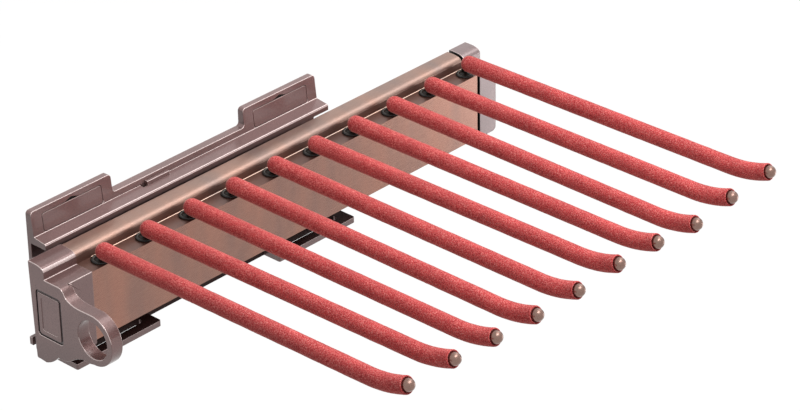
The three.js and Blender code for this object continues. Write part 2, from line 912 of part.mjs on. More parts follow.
const makeBracket = () => {
  const half = bracket.length / 2;
  const bar = toSolid(alongY(bracketSection(), -half, half)).intersect(
    toSolid(alongX(tabOutline(), -overrun, bracket.flangeReach + overrun)),
  );
  const footMiddles = [-1, 1].map((side) => (side * (bracket.length - bracket.footLength)) / 2);
  const feet = footMiddles.map((y) => alongZ(footShape(y), bracket.footBottom, footTop));
  const lug = block(
    [0, -half - bracket.lugLength, bracket.lugTop - bracket.lugHeight],
    [bracket.wall, -half + overrun, bracket.lugTop],
  );
  const whole = [...feet, lug].map(toSolid).reduce((sum, next) => sum.add(next), bar);
  const pockets = tabMiddles.flatMap((middle) => [
    onTab(alongX(coverShape(clearance), -cover.thickness - clearance, overrun), middle),
    onTab(alongX(notchShape(), -cover.notchDepth, overrun), middle),
    alongX(
      roundedBox(
        middle - wallScrew.pocketLength / 2,
        middle + wallScrew.pocketLength / 2,
        coverMiddleZ - wallScrew.pocketHeight / 2,
        coverMiddleZ + wallScrew.pocketHeight / 2,
        cover.corner,
      ),
      wallScrew.seat,
      bracket.plateRoot,
    ),
    new THREE.CylinderGeometry(
      wallScrew.shankRadius + clearance,
      wallScrew.shankRadius + clearance,
      2 * bracket.plateRoot,
      slideScrew.sides,
    )
      .rotateZ(Math.PI / 2)
      .translate(0, middle, coverMiddleZ),
  ]);
  const window = block(
    [bracket.plateRoot, latch.start - latch.window, ledgeUnder - overrun],
    [
      bracket.plateRoot + latch.width + 2 * clearance,
      latch.start + latch.length + clearance,
      bracket.ledgeRoot + overrun,
    ],
  );
  const screwHoles = screwPlaces.map((y) => wallSideScrew(slideScrewSolid(clearance), y));
  return mesh(
    "wall_bracket",
    toGeometry(cut(whole, ...pockets, window, ...screwHoles)),
    mouldedBrown(),
  );
};

const makeCover = (middle, end) => {
  const made = mesh(
    "screw_cover_" + end,
    alongX(coverShape(0), -cover.thickness, 0),
    mouldedBrown(),
  );
  made.position.set(bracket.plateRoot, middle, bracket.ledgeRoot);
  made.rotation.y = -tabSlope;
  return made;
};

const wallScrewGeometry = turned(
  [
    [0, clearance - wallScrew.seat],
    [wallScrew.shankRadius, clearance - wallScrew.seat],
    [wallScrew.shankRadius, clearance],
    [wallScrew.headRadius, clearance],
    [wallScrew.headRadius * wallScrew.topShare, clearance + wallScrew.headHeight],
    [0, clearance + wallScrew.headHeight],
  ],
  slideScrew.sides,
);

const makeWallScrew = (middle, end) => {
  const made = mesh("wall_screw_" + end, wallScrewGeometry, zincSteel());
  made.position.set(wallScrew.seat, middle, coverMiddleZ);
  return made;
};

const makeLatch = () => {
  const left = bracket.plateRoot + clearance;
  const rearEnd = latch.start + latch.length;
  const under = ledgeUnder - clearance;
  const tongue = block(
    [left, latch.start, under - latch.flange],
    [left + latch.width, rearEnd, bracket.ledgeRoot + latch.rise],
  );
  const rim = block(
    [left, latch.start, under - latch.flange],
    [left + latch.width + 2 * latch.flange, rearEnd + 2 * latch.flange, under],
  );
  return mesh("latch_tongue", toGeometry(join(tongue, rim)), mouldedBrown());
};

// Assembly

const rack = new THREE.Group();
armPlaces.forEach((y, i) => rack.add(makeArm(y, i)));
rack.add(makeRail(), makeNutBar(), makeHandle(), makeInset(), makeEndCap());
rack.add(makeMember("slide_inner", slideShapes.inner, railSideScrew));

const middle = new THREE.Group();
middle.add(
  makeMember("slide_middle", slideShapes.middle),
  makeCage(
    "ball_cage_inner",
    innerCageX,
    middleEdge - slide.innerSheet - slide.stationGap,
    innerBallX,
    innerBallZ,
  ),
);

const wallSide = new THREE.Group();
wallSide.add(makeBracket(), makeLatch());
wallSide.add(makeMember("slide_outer", slideShapes.outer, wallSideScrew));
wallSide.add(
  makeCage(
    "ball_cage_outer",
    outerCageX,
    outerEdge - slide.sheet - slide.stationGap,
    outerBallX,
    outerBallZ,
  ),
);
ends.forEach((end, i) => {
  wallSide.add(makeCover(tabMiddles[i], end), makeWallScrew(tabMiddles[i], end));
  const y = screwPlaces[i];
  const fixed = wallSideScrew(slideScrewSolid(0), y);
  const carried = railSideScrew(slideScrewSolid(0), y);
  wallSide.add(mesh("bracket_slide_screw_" + end, fixed, zincSteel()));
  rack.add(mesh("rail_slide_screw_" + end, carried, zincSteel()));
});

const root = new THREE.Group();
root.add(wallSide, middle, rack);

export default root;
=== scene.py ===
"""Looks of the pull-out trouser rack: detailed pieces, materials, studio and camera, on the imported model."""

import math

import bmesh
import bpy
from mathutils import Matrix, Vector, noise


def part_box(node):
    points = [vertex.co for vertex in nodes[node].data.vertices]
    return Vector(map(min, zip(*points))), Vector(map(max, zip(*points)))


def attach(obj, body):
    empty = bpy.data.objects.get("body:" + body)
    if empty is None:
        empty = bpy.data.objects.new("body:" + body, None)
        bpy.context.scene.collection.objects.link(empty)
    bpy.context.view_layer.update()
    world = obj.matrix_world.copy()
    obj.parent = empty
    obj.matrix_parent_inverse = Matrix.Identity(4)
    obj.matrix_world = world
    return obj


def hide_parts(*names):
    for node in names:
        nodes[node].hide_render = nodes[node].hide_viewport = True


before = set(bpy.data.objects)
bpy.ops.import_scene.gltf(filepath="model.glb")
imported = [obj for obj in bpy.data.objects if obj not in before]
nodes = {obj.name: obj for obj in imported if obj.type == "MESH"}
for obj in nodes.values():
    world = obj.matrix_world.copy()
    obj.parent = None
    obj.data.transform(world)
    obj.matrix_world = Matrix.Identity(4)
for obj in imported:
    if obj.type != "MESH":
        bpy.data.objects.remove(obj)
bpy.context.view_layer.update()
MM = 0.001
MM_IN_A_METRE = 1000.0


# Node helpers

MIX_FACTOR, MIX_FIRST, MIX_SECOND, MIX_RESULT = 0, 6, 7, 2  # sockets of a colour mix


class Nodes:
    """A material's node tree, with short calls for the nodes that the materials here share."""

    def __init__(self, name):
        self.material = bpy.data.materials.new(name)
        self.material.use_nodes = True
        self.tree = self.material.node_tree
        self.shader = self.tree.nodes["Principled BSDF"]

    def add(self, kind, **inputs):
        node = self.tree.nodes.new(kind)
        for key, value in inputs.items():
            self.put(node.inputs[key.replace("_", " ")], value)
        return node

    def put(self, socket, value):
        if isinstance(value, bpy.types.NodeSocket):
            self.tree.links.new(value, socket)
        else:
            socket.default_value = value

    def set(self, **inputs):
        for key, value in inputs.items():
            self.put(self.shader.inputs[key.replace("_", " ")], value)

    def place(self, scale=(1.0, 1.0, 1.0)):
        """Object coordinates in millimetres, stretched by scale."""
        where = self.add("ShaderNodeTexCoord").outputs["Object"]
        mapping = self.add("ShaderNodeMapping", Vector=where)
        mapping.inputs["Scale"].default_value = [MM_IN_A_METRE * s for s in scale]
        return mapping.outputs["Vector"]

    def noise(self, vector, scale, detail=2.0, roughness=0.5):
        node = self.add("ShaderNodeTexNoise", Vector=vector, Scale=scale, Detail=detail, Roughness=roughness)
        return node.outputs["Fac"]

    def ramp(self, factor, places, colours):
        """Colours at two or three places of a factor, and the blends between them."""
        node = self.add("ShaderNodeValToRGB", Fac=factor)
        elements = node.color_ramp.elements
        if len(places) > len(elements):
            elements.new(places[1])
        for element, position, colour in zip(elements, places, colours):
            element.position = position
            element.color = colour if len(colour) == 4 else (*colour, 1.0)
        return node.outputs["Color"]

    def level(self, factor, places, values):
        """A number that goes from one value to the other between two places of a factor."""
        node = self.add("ShaderNodeMapRange", Value=factor)
        for key, value in zip(("From Min", "From Max", "To Min", "To Max"), (*places, *values)):
            node.inputs[key].default_value = value
        return node.outputs["Result"]

    def mix(self, factor, first, second, blend="MIX"):
        node = self.tree.nodes.new("ShaderNodeMix")
        node.data_type = "RGBA"
        node.blend_type = blend
        self.put(node.inputs[MIX_FACTOR], factor)
        self.put(node.inputs[MIX_FIRST], first)
        self.put(node.inputs[MIX_SECOND], second)
        return node.outputs[MIX_RESULT]

    def multiply(self, first, second):
        return self.mix(1.0, first, second, "MULTIPLY")

    def bump(self, height, strength, distance):
        node = self.add("ShaderNodeBump", Height=height, Strength=strength, Distance=distance)
        self.put(self.shader.inputs["Normal"], node.outputs["Normal"])


def rgb(hexcode):
    """Linear colour of a six-digit sRGB code."""
    parts = [int(hexcode[i : i + 2], 16) / 255.0 for i in (0, 2, 4)]
    return tuple(((c + 0.055) / 1.055) ** 2.4 if c > 0.04045 else c / 12.92 for c in parts) + (1.0,)


# Materials

NOISE_RANGE = (0.3, 0.7)  # places of a noise between which two colours or two values blend
FLECK_PLACES = (0.3, 0.5, 0.72)  # places of a noise that take a dark, a middle and a light colour
GRAIN_RANGE = (0.2, 0.8)
GRAIN_PLACES = (0.2, 0.5, 0.8)
DRIFT_PLACES = (0.34, 0.5, 0.66)
PAINTED_FOOT_SHADE = (-48.0, -8.0)  # heights in millimetres between which a moulding's painted shade towards its foot fades


def moulded(name, base, light, dark, roughness, painted_low_shade=1.0):
    """Satin metallic moulding: fine flake, faint cloudiness, uneven gloss and a painted shade that darkens it
    towards its foot.
    """
    m = Nodes(name)
    here = m.place()
    height = m.add("ShaderNodeSeparateXYZ", Vector=here).outputs["Z"]
    flake = m.noise(here, scale=2.4, detail=3.0, roughness=0.7)
    cloud = m.noise(here, scale=0.03)
    tone = m.ramp(flake, FLECK_PLACES, (rgb(dark), rgb(base), rgb(light)))
    shade = m.ramp(cloud, NOISE_RANGE, ((0.92, 0.92, 0.92), (1.06, 1.05, 1.05)))
    # painted shade: the colour darkens towards the moulding's foot
    foot = m.level(height, PAINTED_FOOT_SHADE, (painted_low_shade, 1.0))
    m.set(Base_Color=m.multiply(m.multiply(tone, shade), foot))
    m.set(Metallic=0.45, Roughness=m.level(flake, NOISE_RANGE, (roughness - 0.04, roughness + 0.05)))
    m.set(Coat_Weight=0.45, Coat_Roughness=0.1)
    m.bump(flake, strength=0.1, distance=0.00005)
    return m.material


def brushed(name, base, light, dark, roughness, metallic=0.9):
    """Anodised aluminium with a fine grain along the rail and a slow drift of its colour."""
    m = Nodes(name)
    grain = m.noise(m.place((1.0, 0.03, 1.0)), scale=7.0, detail=3.0, roughness=0.6)
    drift = m.noise(m.place((0.3, 1.0, 0.25)), scale=0.035, roughness=0.6)
    tone = m.ramp(grain, GRAIN_PLACES, (rgb(dark), rgb(base), rgb(light)))
    shade = m.ramp(drift, DRIFT_PLACES, ((0.83, 0.87, 0.93), (1.0, 0.97, 0.97), (1.12, 1.01, 0.97)))
    m.set(Base_Color=m.multiply(tone, shade))
    m.set(Coat_Weight=0.3, Coat_Roughness=0.3)
    m.set(Metallic=metallic, Roughness=m.level(grain, GRAIN_RANGE, (roughness - 0.04, roughness + 0.06)))
    m.bump(grain, strength=0.05, distance=0.00004)
    return m.material


def flocked(name, dark, middle, light, dust):
    """Short dense flock: fine mottled fibre tips, soft streaks and a dusty sheen."""
    m = Nodes(name)
    speck = m.noise(m.place(), scale=1.2, detail=3.0, roughness=0.7)
    fibre = m.noise(m.place((0.6, 1.0, 1.0)), scale=1.4, roughness=0.6)
    nap = m.noise(m.place((0.05, 0.16, 0.16)), scale=1.0, detail=3.0)
    tone = m.ramp(speck, FLECK_PLACES, (rgb(dark), rgb(middle), rgb(light)))
    shade = m.ramp(nap, NOISE_RANGE, ((0.86, 0.82, 0.82), (1.1, 1.08, 1.06)))
    m.set(Base_Color=m.multiply(tone, shade))
    m.set(Roughness=0.95, Specular_IOR_Level=0.15)
    m.set(Sheen_Weight=0.8, Sheen_Roughness=0.35, Sheen_Tint=rgb(dust))
    m.bump(m.mix(0.5, speck, fibre), strength=0.8, distance=0.0005)
    return m.material


def satin_ball(name, low, high):
    """Bronze knob with a fine satin finish."""
    m = Nodes(name)
    grain = m.noise(m.place(), scale=1.6, detail=3.0)
    m.set(Base_Color=m.ramp(grain, NOISE_RANGE, (rgb(low), rgb(high))))
    m.set(Metallic=0.9, Roughness=m.level(grain, NOISE_RANGE, (0.3, 0.36)))
    m.set(Coat_Weight=0.3, Coat_Roughness=0.25)
    m.bump(grain, strength=0.05, distance=0.00004)
    return m.material


def steel(name, low, high, roughness, metallic=0.95):
    """Plated sheet steel with a soft drawn grain."""
    m = Nodes(name)
    grain = m.noise(m.place((1.0, 0.04, 1.0)), scale=1.5, detail=3.0)
    spangle = m.noise(m.place(), scale=0.12)
    drawn = m.ramp(grain, NOISE_RANGE, (rgb(low), rgb(high)))
    cloudy = m.ramp(spangle, NOISE_RANGE, (rgb(low), rgb(high)))
    m.set(Base_Color=m.mix(0.5, drawn, cloudy))
    m.set(Metallic=metallic, Roughness=m.level(spangle, NOISE_RANGE, (roughness - 0.06, roughness + 0.08)))
    m.bump(grain, strength=0.06, distance=0.00005)
    return m.material


def smooth_plastic(name, low, high, roughness, shine=0.5):
    """Plain moulded plastic or rubber, a little uneven."""
    m = Nodes(name)
    tone = m.noise(m.place(), scale=0.8)
    m.set(Base_Color=m.ramp(tone, NOISE_RANGE, (rgb(low), rgb(high))))
    m.set(Roughness=m.level(tone, NOISE_RANGE, (roughness - 0.05, roughness + 0.05)))
    m.set(Specular_IOR_Level=shine)
    m.bump(tone, strength=0.05, distance=0.00005)
    return m.material


BROWN = moulded("moulded_brown", "7b5f5d", "8d706c", "684f4d", roughness=0.3, painted_low_shade=0.66)
WALL_BROWN = moulded("wall_side_brown", "846967", "957a77", "735a58", roughness=0.33, painted_low_shade=0.72)
# Painted shade on the bracket's end faces
PAINTED_SHADE_WALL_END = moulded("wall_end_painted_shade", "6a5351", "786160", "5c4745", roughness=0.36)
# Painted highlights: lighter mouldings for upward rounded edges and for the sleeve's bead
PAINTED_HIGHLIGHT_EDGE = moulded("edge_painted_highlight", "d8c4c1", "e6d6d3", "c6b0ad", roughness=0.25)
PAINTED_HIGHLIGHT_COVER_EDGE = moulded("cover_edge_painted_highlight", "a48e8b", "b39d99", "95807c", roughness=0.3)
# Painted shade in the inset's sunken band
PAINTED_SHADE_BAND = moulded("inset_band_painted_shade", "46393a", "554545", "3a2d2d", roughness=0.45)
# Painted shade on the bracket's flange and feet under the rail
PAINTED_SHADE_FLANGE = smooth_plastic("flange_painted_shade", "2b1917", "3d2827", roughness=0.7, shine=0.15)
# Painted shade in grooves and pockets
SHADOW = smooth_plastic("groove_painted_shadow", "2a1f1f", "3a2c2c", roughness=0.5)
END_BROWN = moulded("end_cap_brown", "867474", "968484", "766565", roughness=0.34)
BRONZE = brushed("bronze_aluminium", "936d5f", "a47d6e", "805c50", roughness=0.27)
# Painted light: a lighter bronze for the bead's upward faces
PAINTED_LIGHT_BEAD = brushed("bronze_bead_painted_light", "a2877b", "b3988c", "90776b", roughness=0.38)
# Painted shade: a darker bronze for the shelf under the bead's wall
PAINTED_SHADE_SHELF = brushed("bronze_shelf_painted_shade", "6f5147", "7f6157", "5f443b", roughness=0.36, metallic=0.45)
# Painted highlight: a light bronze for the ridge at the foot of the bead's wall
PAINTED_HIGHLIGHT_RIDGE = brushed("bronze_ridge_painted_highlight", "cdb2a2", "dcc3b4", "b99e8f", roughness=0.3)
FLOCK = flocked("red_flock", "8b1b25", "cb4d4e", "efa09a", dust="ffc9bf")
BALL = satin_ball("knob_bronze", "806258", "94766b")
ZINC = steel("zinc_steel", "9a9c9e", "c4c6c8", roughness=0.35)
CAGE = steel("cage_steel", "7c7e80", "a2a4a6", roughness=0.4)
BLACK = steel("black_steel", "17130f", "2c2622", roughness=0.4, metallic=0.4)
WASHER = smooth_plastic("grey_washer", "484642", "5c5a55", roughness=0.4)
# Black of the washers' seal rings, also painted shade in the cover pockets and in the rear cap's joint
BLACK_SEAL_AND_PAINTED_SHADE = smooth_plastic("washer_seal_and_painted_shade", "100e0d", "1d1a18", roughness=0.45)


# Mesh helpers

SAME_POINT = 0.000001  # metres between points that are one
NEAR_POINT = 0.00005  # the same, where the small steps left by cuts have to go before a bevel
FLAT_ANGLE = math.radians(1.0)
SOFT_ANGLE = math.radians(40.0)
BEVEL_ANGLE = math.radians(30.0)
BEVEL_SEGMENTS = 3
BODY_SLOT, EDGE_SLOT = 0, 1  # material places of a piece with rounded edges
PAINTED_HIGHLIGHT_UPWARD = 0.2  # least upward share of a rounded edge's normal, where it takes the painted highlight material


def mesh_object(name, vertices, faces, materials, smooth=True):
    data = bpy.data.meshes.new(name)
    data.from_pydata([Vector(v) for v in vertices], [], faces)
    data.validate()
    for material in materials:
        data.materials.append(material)
    if smooth:
        data.shade_smooth()
    piece = bpy.data.objects.new(name, data)
    bpy.context.scene.collection.objects.link(piece)
    return piece


def rings_mesh(rings, closed=True):
    """Vertices and faces of a tube through rings of equal count, with its ends closed or open."""
    count = len(rings[0])
    vertices = [v for ring in rings for v in ring]
    faces = []
    for r in range(len(rings) - 1):
        for i in range(count):
            j = (i + 1) % count
            faces.append((r * count + i, r * count + j, (r + 1) * count + j, (r + 1) * count + i))
    if closed:
        last = (len(rings) - 1) * count
        faces.append(tuple(range(count - 1, -1, -1)))
        faces.append(tuple(range(last, last + count)))
    return vertices, faces


def merged_copy(mesh, distance, flat=False):
    """A working copy of a mesh with near points merged and, if it is to be flat, its flats merged too."""
    work = bmesh.new()
    work.from_mesh(mesh)
    bmesh.ops.remove_doubles(work, verts=work.verts, dist=distance)
    if flat:
        bmesh.ops.dissolve_limit(work, angle_limit=FLAT_ANGLE, verts=work.verts, edges=work.edges)
    return work


def soft_normals(data):
    """Corner normals that keep large flats flat and shade the narrow rounded edges between them smoothly."""
    limit = math.cos(SOFT_ANGLE)
    outs = [face.normal.copy() for face in data.polygons]
    sizes = [face.area for face in data.polygons]
    around = [[] for _ in data.vertices]
    for face in data.polygons:
        for corner in face.vertices:
            around[corner].append(face.index)
    normals = []
    for face in data.polygons:
        for corner in face.vertices:
            total = Vector()
            for other in around[corner]:
                if outs[other].dot(outs[face.index]) > limit:
                    total += outs[other] * sizes[other]
            normals.append(total.normalized() if total.length > 0 else outs[face.index])
    data.shade_smooth()
    data.normals_split_custom_set(normals)


def bevelled(node, width):
    """A copy of a CAD node's mesh, with its flats merged and its sharp edges rounded if it has a width."""
    data = bpy.data.meshes.new(node + "_look")
    work = merged_copy(nodes[node].data, NEAR_POINT if width else SAME_POINT, flat=width > 0)
    work.to_mesh(data)
    work.free()
    piece = bpy.data.objects.new(node + "_look", data)
    bpy.context.scene.collection.objects.link(piece)
    if not width:
        soft_normals(data)
        return piece
    bevel = piece.modifiers.new("edges", "BEVEL")
    bevel.width = width * MM
    bevel.segments = BEVEL_SEGMENTS
    bevel.limit_method = "ANGLE"
    bevel.angle_limit = BEVEL_ANGLE
    bevel.use_clamp_overlap = False
    bevel.miter_outer = "MITER_ARC"
    bevel.material = EDGE_SLOT
    data.materials.append(None)
    data.materials.append(None)
    bpy.context.view_layer.update()
    graph = bpy.context.evaluated_depsgraph_get()
    made = bpy.data.meshes.new_from_object(
        piece.evaluated_get(graph), preserve_all_data_layers=True, depsgraph=graph
    )
    piece.modifiers.clear()
    piece.data = made
    soft_normals(made)
    return piece


def painted_edge_highlights(piece, body, highlight):
    """Upward rounded edges take the lighter material, a painted highlight; the other ones take that of the
    body.
    """
    piece.data.materials[BODY_SLOT] = body
    piece.data.materials[EDGE_SLOT] = highlight
    for face in piece.data.polygons:
        if face.material_index == EDGE_SLOT and face.normal.z < PAINTED_HIGHLIGHT_UPWARD:
            face.material_index = BODY_SLOT


def shade_faces(piece, material, chosen):
    """Gives a further material to the faces whose centre, in millimetres, and normal pass a test."""
    piece.data.materials.append(material)
    last = len(piece.data.materials) - 1
    for face in piece.data.polygons:
        if chosen(face.center / MM, face.normal):
            face.material_index = last


def stand_for(piece, body, slot, material, *replaced):
    """The piece rides on a body, takes a material if one is given, and stands for CAD nodes."""
    if material is not None:
        if piece.data.materials:
            piece.data.materials[0] = material
        else:
            piece.data.materials.append(material)
    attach(piece, body)
    if replaced:
        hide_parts(*replaced)


def paint(node, material):
    data = nodes[node].data
    data.materials.clear()
    data.materials.append(material)


# CAD nodes that keep their shape

for name in nodes:
    if name.startswith("slide_") or name == "nut_bar" or "_screw_" in name:
        paint(name, ZINC)
    elif name.startswith("ball_cage"):
        paint(name, CAGE)


# Moulded pieces and the rail, with the widths of their rounded edges in millimetres

EDGES = {
    "wall_bracket": 0.38,
    "latch_tongue": 0.4,
    "screw_cover_front": 0.4,
    "screw_cover_rear": 0.4,
    "handle_cap": 0.5,
    "handle_inset": 0.15,
    "rail_end_cap": 0.7,
    "rail_profile": 0,
}
look = {name: bevelled(name, width) for name, width in EDGES.items()}
for name, width in EDGES.items():
    if width:
        painted_edge_highlights(look[name], BROWN, PAINTED_HIGHLIGHT_COVER_EDGE if name.startswith("screw_cover") else PAINTED_HIGHLIGHT_EDGE)
for name in ("wall_bracket", "latch_tongue", "screw_cover_front", "screw_cover_rear"):
    stand_for(look[name], "wall_side", "moulded_brown", WALL_BROWN, name)
for name in ("handle_cap", "handle_inset"):
    stand_for(look[name], "rack", "moulded_brown", BROWN, name)
stand_for(look["rail_end_cap"], "rack", "end_cap_brown", END_BROWN, "rail_end_cap")
stand_for(look["rail_profile"], "rack", "bronze_aluminium", BRONZE, "rail_profile")


# Tests for faces of a further material, most of them painted shade and painted highlights: their centres are
# in millimetres

FACING = 0.5  # least share of a face's normal along an axis, where the face looks that way
SQUARE_ON = 0.9  # the same, where it looks straight that way

inset_low, inset_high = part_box("handle_inset")
inset_low /= MM
inset_high /= MM
front_face = inset_low.y

INSET_GROOVE = 0.3  # depth under the front face where the inset's groove takes painted shade
GROOVE_WALL = 0.7  # greatest share of a groove wall's normal along the rail
BAND_TOP = 0.7  # depths under the front face between which the inset's band lies, in painted shade
BAND_FLOOR = 0.9
POCKET_MARGIN = 1.0  # how far past the inset its pocket's walls lie


def in_groove(at, out):
    return at.y > front_face + INSET_GROOVE and abs(out.y) < GROOVE_WALL


def on_band(at, out):
    return front_face + BAND_TOP < at.y < front_face + BAND_FLOOR and out.y < -SQUARE_ON


# Painted shadow on the walls and floor of the pocket round the inset
def in_inset_pocket(at, out):
    return (
        front_face + INSET_GROOVE < at.y < inset_high.y + POCKET_MARGIN
        and inset_low.x - POCKET_MARGIN < at.x < inset_high.x + POCKET_MARGIN
        and inset_low.z - POCKET_MARGIN < at.z < inset_high.z + POCKET_MARGIN
    )


SLEEVE_FOOT = 35.0  # the handle cap's sleeve over the rail: height and reach where its bead begins
SLEEVE_BACK = 30.0
GLINT_LOW = 0.3  # upward shares of the normal between which the sleeve's bead takes a painted highlight
GLINT_HIGH = 0.75


def on_sleeve_bead_painted_glint(at, out):
    bright = GLINT_LOW < out.z < GLINT_HIGH and out.x > FACING
    return at.z > SLEEVE_FOOT and at.x > SLEEVE_BACK and bright


BEAD_FOOT = 35.5  # height on the rail where its bead begins
BEAD_UPWARD = 0.1
SHELF_UNDER = 29.0  # height just under the shelf's face


def on_bead(at, out):
    return at.z > BEAD_FOOT and out.z > BEAD_UPWARD


def on_shelf(at, out):
    return SHELF_UNDER < at.z < BEAD_FOOT and (out.z > FACING or out.x > FACING)


COVER_BEHIND = 1.5  # how far behind a screw cover its pocket's floor lies
COVER_GAP = 0.5
NOTCH_HEIGHT = 2.8
COVER_LIP = 0.2  # depth under a cover's sloped face where its pocket takes painted shade
COVER_TOP = 1.3  # what is left of a cover's thickness at its top


def in_cover_pocket(low, high):
    """Test for painted shade in the gap round a screw cover and the notch over it, from the corners of the
    cover's box.
    """

    def chosen(at, out):
        return (
            low.x - COVER_BEHIND < at.x < high.x
            and low.y - COVER_GAP < at.y < high.y + COVER_GAP
            and low.z - COVER_GAP < at.z < high.z + NOTCH_HEIGHT
            and at.x < high.x - COVER_LIP - (at.z - low.z) * (high.x - low.x - COVER_TOP) / (high.z - low.z)
        )

    return chosen


END_FOOT = 20.0  # height over which the bracket's end faces take painted shade
FLANGE_UNDER = -20.0  # height under which the bracket's flange and its feet lie
FLANGE_BACK = 3.0  # reach past which they lie
FLANGE_SHADE = 40.0  # reach within which their outward faces take painted shade


def on_bracket_end(at, out):
    return out.y < -SQUARE_ON and at.z > END_FOOT


def in_flange_painted_shade(at, out):
    shaded = out.z > FACING or out.x > FACING and at.x < FLANGE_SHADE
    return at.z < FLANGE_UNDER and at.x > FLANGE_BACK and shaded


CAP_LENGTH = 19.5  # of the rear cap, along the rail
SEAL_WIDTH = 0.35  # of the dark joint line where it meets the rail, painted shade in the gap
cap_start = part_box("rail_end_cap")[1].y / MM - CAP_LENGTH


def in_cap_joint_painted_shade(at, out):
    return at.y < cap_start + SEAL_WIDTH


for end in ("front", "rear"):
    low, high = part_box("screw_cover_" + end)
    shade_faces(look["wall_bracket"], BLACK_SEAL_AND_PAINTED_SHADE, in_cover_pocket(low / MM, high / MM))
for name, material, chosen in (
    ("wall_bracket", PAINTED_SHADE_WALL_END, on_bracket_end),
    ("wall_bracket", PAINTED_SHADE_FLANGE, in_flange_painted_shade),
    ("handle_inset", SHADOW, in_groove),
    ("handle_inset", PAINTED_SHADE_BAND, on_band),
    ("handle_cap", SHADOW, in_inset_pocket),
    ("handle_cap", PAINTED_HIGHLIGHT_EDGE, on_sleeve_bead_painted_glint),
    ("rail_profile", PAINTED_LIGHT_BEAD, on_bead),
    ("rail_profile", PAINTED_SHADE_SHELF, on_shelf),
    ("rail_end_cap", BLACK_SEAL_AND_PAINTED_SHADE, in_cap_joint_painted_shade),
):
    shade_faces(look[name], material, chosen)


# A thin rolled ridge on the shelf, at the foot of the bead's wall, in a light bronze as a painted highlight;
# in millimetres

SHELF = 30.0
RIDGE_X = 37.9
RIDGE_WIDTH = 0.45
RIDGE_HEIGHT = 0.5
RIDGE_SUNK = 0.1
RIDGE_END_GAP = 0.5
ridge_ends = (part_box("handle_cap")[1].y / MM, cap_start - RIDGE_END_GAP)
ridge_section = (
    (0.0, -RIDGE_SUNK),
    (RIDGE_WIDTH, -RIDGE_SUNK),
    (RIDGE_WIDTH, RIDGE_HEIGHT / 2),
    (0.0, RIDGE_HEIGHT),
)
vertices, faces = rings_mesh(
    [[Vector((RIDGE_X + x, y, SHELF + z)) * MM for x, z in ridge_section] for y in ridge_ends]
)
painted_highlight_ridge = mesh_object("rail_ridge_painted_highlight", vertices, faces, [PAINTED_HIGHLIGHT_RIDGE], smooth=False)
stand_for(painted_highlight_ridge, "rack", "bronze_aluminium", None)


# Arms, in millimetres, each drawn along X over its post and then leaned and set in its place

POST_X = 46.2
ARM_RISE = 9.0
ARM_Z = SHELF + ARM_RISE
REACH = 348.8
KNOB_RADIUS = 5.2
TIP_RADIUS = 96.0
TIP_ANGLE = math.radians(22.0)
TIP_LENGTH = TIP_RADIUS * TIP_ANGLE
STRAIGHT_END = REACH - KNOB_RADIUS - TIP_RADIUS * math.sin(TIP_ANGLE)
LIFT_DEGREES = (0.7, 0.5, 0.1, -0.2, -0.2, 0.2, 0.0, -0.7, 0.2, 0.3)
TURN_DEGREES = (0.1, 0.5, 0.2, 0.0, 0.1, 0.2, 0.1, 0.2, -0.2, 0.1)
LAST_RISE = 2.0  # how much higher the last arm stands


def tip_frame(distance):
    """Centre and direction on the rod's axis, a distance past the end of its straight part."""
    if distance <= 0:
        return Vector((STRAIGHT_END + distance, 0, ARM_Z)), 0.0
    turn = distance / TIP_RADIUS
    x = STRAIGHT_END + TIP_RADIUS * math.sin(turn)
    return Vector((x, 0, ARM_Z + TIP_RADIUS * (1 - math.cos(turn)))), turn


def lean(index, y):
    """How an arm stands on its post: its own small lift, turn and rise."""
    rise = LAST_RISE if index == len(LIFT_DEGREES) - 1 else 0.0
    lift = Matrix.Rotation(-math.radians(LIFT_DEGREES[index]), 4, "Y")
    turn = Matrix.Rotation(math.radians(TURN_DEGREES[index]), 4, "Z")
    foot = Matrix.Translation((POST_X, y, SHELF + rise))
    return Matrix.Scale(MM, 4) @ foot @ lift @ turn @ Matrix.Translation((-POST_X, 0, -SHELF))


def ring_at(centre, turn, radius, count, wobble=None):
    """A ring of points round the rod's axis, each moved out by its wobble."""
    along = Vector((math.cos(turn), 0, math.sin(turn)))
    across = Vector((0, 1, 0))
    up = across.cross(along) * -1.0
    ring = []
    for i in range(count):
        angle = 2 * math.pi * i / count
        out = across * math.cos(angle) + up * math.sin(angle)
        grow = wobble(centre + out * radius) if wobble else 0.0
        ring.append(centre + out * (radius + grow))
    return ring


ROD_RADIUS = 2.45
SLEEVE_RADIUS = 6.55
SLEEVE_SIDES = 44
ROOT_BACK = 1.4  # how far the sleeve's root reaches back past the post
ROOT_END = POST_X - ROOT_BACK
ROOT_STEPS = 9
RING_STEP = 1.05
RIM_BACK = 0.5  # from the knob's centre back to the sleeve's rim
RIM_ROUND = 0.9
RIM_STEPS = 5
CUP_RADIUS = 5.3
CUP_DEPTH = 1.8
FINE_FUZZ = 0.085
FINE_SCALE = 0.95
WIDE_FUZZ = 0.11
WIDE_SCALE = 0.09
FUZZ_STEP = Vector((0.0, 37.0, 11.0))  # how far apart in the noise the fuzz of two arms is taken


